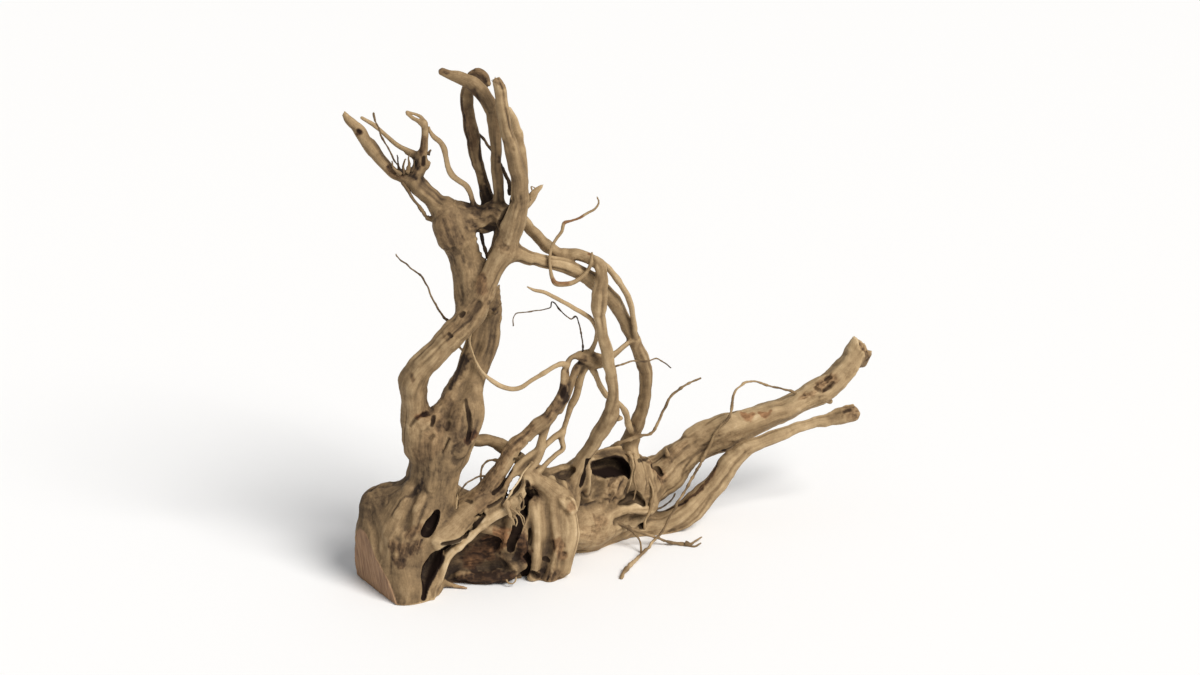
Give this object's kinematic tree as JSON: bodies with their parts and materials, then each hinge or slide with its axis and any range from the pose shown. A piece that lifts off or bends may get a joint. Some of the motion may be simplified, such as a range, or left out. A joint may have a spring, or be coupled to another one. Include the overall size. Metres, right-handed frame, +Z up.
{
  "type": "spider wood driftwood piece",
  "caption": "Branching spider wood root stock with a sawn foot, crossing trunk limbs, pronged crown, great root arch and two long side branches.",
  "frame": {"origin": "on the floor, under the middle of the piece's box", "axes": "+X to the right along its length, +Y to the back, +Z up"},
  "size_m": [0.5427, 0.2738, 0.5283],
  "materials": {
    "wood": "washed, weathered bare wood",
    "bark": "dark inner bark and stained wood"
  },
  "bodies": {
    "root": {"trunk_foot": "wood", "upper_trunk": "wood", "left_limb": "wood", "right_limb": "wood", "bark_wall": "bark", "middle_leg": "wood", "base_root": "wood", "long_branch": "wood", "low_branch": "wood", "arch_leg": "wood", "arch_top": "wood", "front_rib": "wood", "front_prong": "wood", "hooked_prong": "wood", "brown_prong": "bark", "upper_root": "wood", "left_fork": "wood", "broken_tine": "wood", "upright_tine": "wood", "side_tine": "wood", "root_knot": "wood", "outer_rib": "wood", "braid_left": "wood", "braid_low": "wood", "braid_middle": "wood", "braid_right": "wood", "braid_link": "wood", "torn_strap": "wood", "bridge_root": "wood", "slanting_root": "wood", "crown_twig": "wood", "cross_twig": "wood", "dark_twig": "bark", "side_strand": "wood", "loop_twig": "wood", "pointed_twig": "wood", "sagging_twig": "wood", "hair_root": "wood", "reaching_twig": "wood", "draping_root": "wood", "floor_root": "wood", "hanging_root": "wood", "back_twig": "wood", "rising_twig": "wood", "side_twig": "wood", "loop_root": "wood", "foot_splinter": "wood"}
  },
  "joints": []
}
